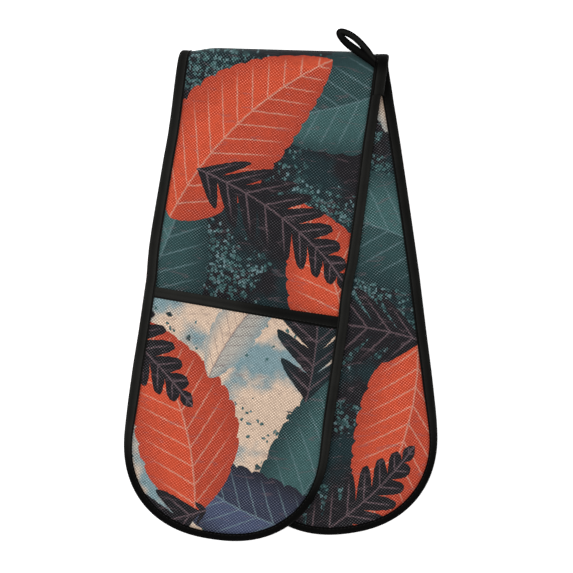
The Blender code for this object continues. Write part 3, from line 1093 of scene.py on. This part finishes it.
def stitchPiece(name, count, spot):
    # a line of stitches on each face; spot gives what finds its points, its height and its flat place
    bm = bmesh.new()
    bm.verts.layers.float_vector.new("flat")
    outward = 0.001
    for face in (1, -1):
        path = []
        for number in range(count + 1):
            at, height, place = spot(number, face)
            level = face * (height + binding["cloth"] - stitches["sink"])
            point = at(level)
            path.append((point, at(level + face * outward) - point, place))
        stitchLine(bm, path)
    return paintedLightPiece(bm, name, threadTwist, sharp=80)


def edgePlace(leg, row, inset=0.0):
    return leg.place(row, binding["rows"], 1.0, inset, leg.fromFold)


def edgeLip(leg, along):
    climb = smooth((along - leg.mouth + strip["lipRun"]) / strip["lipRun"])
    return between(strip["lip"], strip["pocketLip"], climb)


def edgePaintedLight(leg, along):
    start, run = binding["paintedLightRun"]
    amount = between(*binding["rubbed"][leg.name], smooth((along - start) / run))
    return between(amount, binding["rubbed"]["end"], leg.towardEnd(along, *binding["paintedLightEnd"]))


def edgeBinding(leg, count):
    lengths = runningLengths([leg.at(*edgePlace(leg, row), 0.0) for row in range(count + 1)])

    def spot(row):
        along = edgePlace(leg, row)[1]
        cut = tapeCut(leg.tapeWidth(along), -strip["lip"], edgeLip(leg, along))

        def at(inset, offset):
            return leg.at(*edgePlace(leg, row, inset), offset)

        return cut, at, lengths[row], edgePaintedLight(leg, along)

    return tapePiece(leg.name + "EdgeBinding", count, spot)


def edgeStitches(leg, count):
    def spot(row, face):
        width = leg.tapeWidth(edgePlace(leg, row)[1])
        across, along = edgePlace(leg, row, stitches["line"] * width)
        lip = edgeLip(leg, along) if face > 0 else strip["lip"]
        place = leg.printed(across, along, edgePaintedLight(leg, along))
        return lambda level: leg.at(across, along, level), lip, place

    return stitchPiece(leg.name + "EdgeStitches", count, spot)


for leg in legs:
    count = 2 * binding["rows"][0] + binding["rows"][1]
    rideOn(edgeBinding(leg, count), leg.body, "binding_tape", leg.name + "_edge_binding", leg.name + "_pocket_seam")
    rideOn(edgeStitches(leg, count), leg.body, "binding_tape")


def foldBinding(name, side, node, growth, rubbed):
    # it grows wider, and takes more or less painted light, from the rear leg to the front one
    def foldPoint(reach, inset, offset, wider=0.0):
        across = side * (strip["halfWidth"] - inset + wider)
        return onFold(across, atReach(across, reach), offset)

    def tapeSpot(row):
        reach = foldReach(row)
        share = reachShare(0.0, reach)
        wider = growth * smooth(share * 2)
        cut = tapeCut(strip["tapeWidth"] + wider, -strip["lip"], strip["lip"])
        return cut, lambda inset, offset: foldPoint(reach, inset, offset, wider), reach, between(*rubbed, share)

    def stitchSpot(row, face):
        reach, inset = foldReach(row), stitches["line"] * strip["tapeWidth"]
        return lambda level: foldPoint(reach, inset, level), strip["lip"], Vector((0.0, reach, 1.0))

    blendFold(tapePiece(name, padDetail["foldRows"], tapeSpot), reachShare, "binding_tape", node)
    blendFold(stitchPiece(name + "Stitches", padDetail["foldRows"], stitchSpot), reachShare, "binding_tape")


foldBinding("foldBindingLeft", -1, "fold_binding_left", growth=0.0, rubbed=(0.1, 0.7))
foldBinding("foldBindingRight", 1, "fold_binding_right", growth=0.0018, rubbed=(0.1, 0.15))
print("bindings made")


# The tape's overlapping end, folded under and stitched down, beside the loop
lap = {
    "growth": 0.0022,
    "narrower": 0.0010,
    "lift": 0.0008,
    "length": 0.0264,
    "rows": 16,
    "rubbed": (0.12, 0.70),
    # how far on and how much thinner the last rows are, which round it off
    "end": ((0.0, 0.0), (0.0003, 0.00025), (0.0005, 0.0007)),
}


def lapSpot(row):
    further, shrink = lap["end"][max(row - lap["rows"], 0)]
    share = min(row / lap["rows"], 1.0)
    reach = halfBend + lap["length"] * share + further
    lip = strip["lip"] + lap["lift"] - shrink
    cut = tapeCut(strip["tapeWidth"] + lap["growth"] - lap["narrower"], -lip, lip)

    def at(inset, offset):
        across = -(strip["halfWidth"] - inset + lap["growth"])
        return frontLeg.at(across, atReach(across, reach), offset)

    return cut, at, reach, between(*lap["rubbed"], smooth(share * 2))


lapPiece = tapePiece("bindingLap", lap["rows"] + len(lap["end"]) - 1, lapSpot)
rideOn(lapPiece, "front_leg", "binding_tape", "binding_lap")


# Pockets: a padded face, a lining and a bound mouth
pocketDetail = {
    "rings": 26,
    "ringPower": 1.2,
    "rim": (0.0,),
    "sideRows": 40,
    "endRows": 76,
    "rimInset": 0.0042,
    "mouthInset": 0.0012,
    "mouthColumns": 72,
    "mouthCrowding": 0.1,
    "mouthRound": 0.0011,
    "mouthEnd": 0.0070,
    "mouthSlack": 0.0003,
    "mouthPaintedLight": (-0.3, 0.75),  # where the mouth's tape starts to take more painted light, and over what share
    "stitchEnd": 0.0100,
    "liningGap": 0.0001,
    "blendLevel": 0.007,
    "printShift": (0.12, 0.12),
    "liningFlat": (0.168, 0.203),
    "liningArea": 0.0327,
}
pocketPadCloth = {
    "slack": 0.008,
    "pressure": 0.6,
    "bending": 0.4,
    "frames": 20,
    "limit": 0.0012,
    "edgeHeld": 0.0005,
    "mouthHeld": 0.0100,
    "run": 0.007,
}


def pocketSheet(leg, name, material, high, low):
    def mouth(half):
        return leg.mouth + pocketDetail["mouthInset"]

    def height(across, along, side):
        return between(low(across, along), high(across, along), (side + 1) / 2)

    return legSheet(leg, name, material, pocketDetail, mouth, height)


def shiftPrint(piece, shift):
    for corner in piece.data.uv_layers["cloth"].data:
        corner.uv = (corner.uv[0] + shift[0], corner.uv[1] + shift[1])


def mouthBinding(leg):
    columns, crowding = pocketDetail["mouthColumns"], pocketDetail["mouthCrowding"]
    widest = strip["halfWidth"] - pocketDetail["mouthEnd"]
    half = pocketShape["mouthHalf"] + pocketDetail["mouthSlack"]
    start, run = pocketDetail["mouthPaintedLight"]

    def spot(column):
        share = 2 * column / columns - 1
        across = widest * (share - crowding * share * abs(share) ** 5) / (1 - crowding)
        middle = leg.mouthMiddle(across)
        cut = tapeCut(leg.mouthTape(across), middle - half, middle + half, pocketDetail["mouthRound"])
        rubbed = between(*binding["rubbed"]["mouth"], smooth((share - start) / run))
        return cut, lambda inset, offset: leg.at(across, leg.mouth + inset, offset), across, rubbed

    return tapePiece(leg.name + "MouthBinding", columns, spot)


def mouthStitches(leg):
    columns = pocketDetail["mouthColumns"]
    widest = strip["halfWidth"] - pocketDetail["stitchEnd"]
    half = pocketShape["mouthHalf"] + pocketDetail["mouthSlack"]

    def spot(column, face):
        across = widest * (2 * column / columns - 1)
        along = leg.mouth + stitches["line"] * leg.mouthTape(across)
        middle = leg.mouthMiddle(across)
        return lambda level: leg.at(across, along, middle + level), half, Vector((across, along, 1.0))

    return stitchPiece(leg.name + "MouthStitches", columns, spot)


def blendPocket(leg, piece, share, slotName, *nodes):
    hinge = leg.at(0.0, leg.length - pocketShape["inset"], pocketDetail["blendLevel"])
    mouth = leg.at(0.0, leg.mouth, pocketDetail["blendLevel"])
    blendBy(piece, leg.body, leg.pocketBody, hinge, mouth, share, slotName, *nodes)


for leg in legs:

    def liningTop(across, along):
        return leg.pocketBottom(across, along) + pocketShape["lining"]

    def faceBottom(across, along):
        return liningTop(across, along) + pocketDetail["liningGap"]

    def printShare(across, along):
        return leg.pocketShare(*leg.fromPrint(across, along))

    face = pocketSheet(leg, leg.name + "PocketPad", pocketCanvas, leg.pocketTop, faceBottom)
    held, limits = [], []
    for printAcross, printAlong, side in flatPlaces(face):
        across, along = leg.fromPrint(printAcross, printAlong)
        fromEdge = leg.fromTape(across, along) - pocketPadCloth["edgeHeld"]
        fromMouth = along - leg.mouth - pocketPadCloth["mouthHeld"]
        free = smooth(fromEdge / pocketPadCloth["run"]) * smooth(fromMouth / pocketPadCloth["run"]) * (side > 0.5)
        held.append(side < 0.5 or fromEdge < 0 or fromMouth < 0)
        limits.append(pocketPadCloth["limit"] * free)
    if leg is frontLeg:
        puff(face, held, limits, pocketPadCloth)
    shiftPrint(face, pocketDetail["printShift"])
    markSeam(face, leg.printFromTape)
    blendPocket(leg, face, printShare, "pocket_print", leg.name + "_pocket_panel", leg.name + "_pocket_wadding")

    inside = pocketSheet(leg, leg.name + "PocketLining", liningCloth, liningTop, leg.pocketBottom)
    blendPocket(leg, inside, printShare, "lining", leg.name + "_pocket_lining")

    # a tape's place says how far across the mouth second, and a stitch's says it first
    tape = mouthBinding(leg)
    tapeNode = leg.name + "_pocket_binding"
    blendPocket(leg, tape, lambda inward, across: leg.pocketShare(across, leg.mouth), "binding_tape", tapeNode)
    sewn = mouthStitches(leg)
    blendPocket(leg, sewn, lambda across, along: leg.pocketShare(across, leg.mouth), "binding_tape")
print("pockets made")


# Hanging loop: tape folded narrow, its ends sewn down beside the binding
loop = {
    "reach": 0.0400,
    "swell": 0.0044,
    "swellRun": 0.95,
    "bow": 0.0012,
    "broader": 0.21,
    "root": 0.0021,
    "width": 0.0058,
    "thickness": 0.0020,
    "direction": radians(139.9),
    "level": 0.0156,
    "foot": 0.0092,
    "rows": 72,
    "probe": 0.5 / 28,
    "twistRun": 3 / 28,
    "lower": (0.45, 0.25),  # where the lower strand starts, and over what share of the whole
    "rubbed": (0.65, 0.15),
    # the tape's painted shade at its edge and painted light in its middle, as places on the binding's tape
    "tone": (0.0013, 0.0008),
    # across and up, in half widths and half thicknesses
    "cut": (
        (1.0, 0.0), (0.97, 0.5), (0.86, 0.86), (0.62, 1.0), (0.30, 0.96), (0.0, 0.72),
        (-0.30, 0.96), (-0.62, 1.0), (-0.86, 0.86), (-0.97, 0.5), (-1.0, 0.0), (-0.97, -0.5),
        (-0.86, -0.86), (-0.62, -1.0), (0.0, -1.0), (0.62, -1.0), (0.86, -0.86), (0.97, -0.5),
    ),
}


def hangingLoop():
    across = loop["foot"] - strip["halfWidth"]
    root = frontLeg.at(across, atReach(across, halfBend), 0.0)
    root.z = strip["foldMiddle"].z + loop["level"]
    up = Vector((0, 0, 1))
    edge = Vector((sin(strip["splay"]), cos(strip["splay"]), 0))
    out = Vector((cos(loop["direction"]), sin(loop["direction"]), 0))
    sideways = out.cross(up)

    def middle(turn):
        # the two strands lie together at the root and part toward the tip, bowed to the right
        reach = sin(pi * turn)
        swell = sideways * loop["swell"] * smooth(reach / loop["swellRun"])
        bowed = root + out * loop["reach"] * reach + sideways * loop["bow"] * sin(pi * reach)
        return bowed + (edge * loop["root"] + swell) * cos(pi * turn)

    turns = [row / loop["rows"] for row in range(loop["rows"] + 1)]
    rings = []
    start, run = loop["lower"]
    for turn, ahead in zip(turns, runningLengths([middle(turn) for turn in turns])):
        onward = (middle(min(turn + loop["probe"], 1)) - middle(max(turn - loop["probe"], 0))).normalized()
        flatEdge = edge if turn > 0.5 else -edge
        wide = flatEdge.lerp(up.cross(onward), smooth(min(turn, 1 - turn) / loop["twistRun"])).normalized()
        # the lower strand lies flatter and takes less painted light
        lower = smooth((turn - start) / run)
        width = loop["width"] * (1 + loop["broader"] * lower * sin(pi * sin(pi * turn)))
        ring = []
        for flat, thick in loop["cut"]:
            point = middle(turn) + wide * width / 2 * flat + up * loop["thickness"] / 2 * thick
            inner = loop["tone"][0] + loop["tone"][1] * (1 - abs(flat))
            ring.append((point, Vector((inner, ahead, between(*loop["rubbed"], lower)))))
        rings.append(ring)
    return sweep("hangingLoop", rings)


rideOn(hangingLoop(), "hanging_loop", "binding_tape", "hanging_loop")
print("loop made")


# Floor, light and the photograph's plain look
studio = {
    "floorSize": 8.0,
    "floorLevel": -0.0003,
    "floorLook": {
        "Base Color": (0.93, 0.93, 0.93, 1.0),
        "Roughness": 0.9,
        "Emission Color": (1, 1, 1, 1),
        "Emission Strength": 0.55,
        "Specular IOR Level": 0.0,
    },
    "sky": {"Color": (1, 1, 1, 1), "Strength": 0.7},
    "lampSize": 1.6,
    "lampPower": 22.0,
    "lampPlace": (-0.35, 0.55, 1.9),
}
floorMesh = bmesh.new()
bmesh.ops.create_grid(floorMesh, x_segments=1, y_segments=1, size=studio["floorSize"] / 2)
bmesh.ops.translate(floorMesh, verts=floorMesh.verts, vec=(0, 0, studio["floorLevel"]))
floorData = bpy.data.meshes.new("floor")
floorMesh.to_mesh(floorData)
floorMesh.free()
floor = newObject("floor", floorData)
floorPaint = bpy.data.materials.new("floorPaint")
floorPaint.use_nodes = True
setPlain(floorPaint.node_tree.nodes["Principled BSDF"].inputs, studio["floorLook"])
floorData.materials.append(floorPaint)

world = bpy.data.worlds.new("softRoom")
world.use_nodes = True
setPlain(world.node_tree.nodes["Background"].inputs, studio["sky"])
bpy.context.scene.world = world
lampData = bpy.data.lights.new("softLamp", "AREA")
lampData.size = studio["lampSize"]
lampData.energy = studio["lampPower"]
lamp = newObject("softLamp", lampData)
lamp.location = studio["lampPlace"]
lamp.rotation_euler = (Vector((0, 0, 0)) - lamp.location).to_track_quat("-Z", "Y").to_euler()
bpy.context.scene.view_settings.view_transform = "Standard"
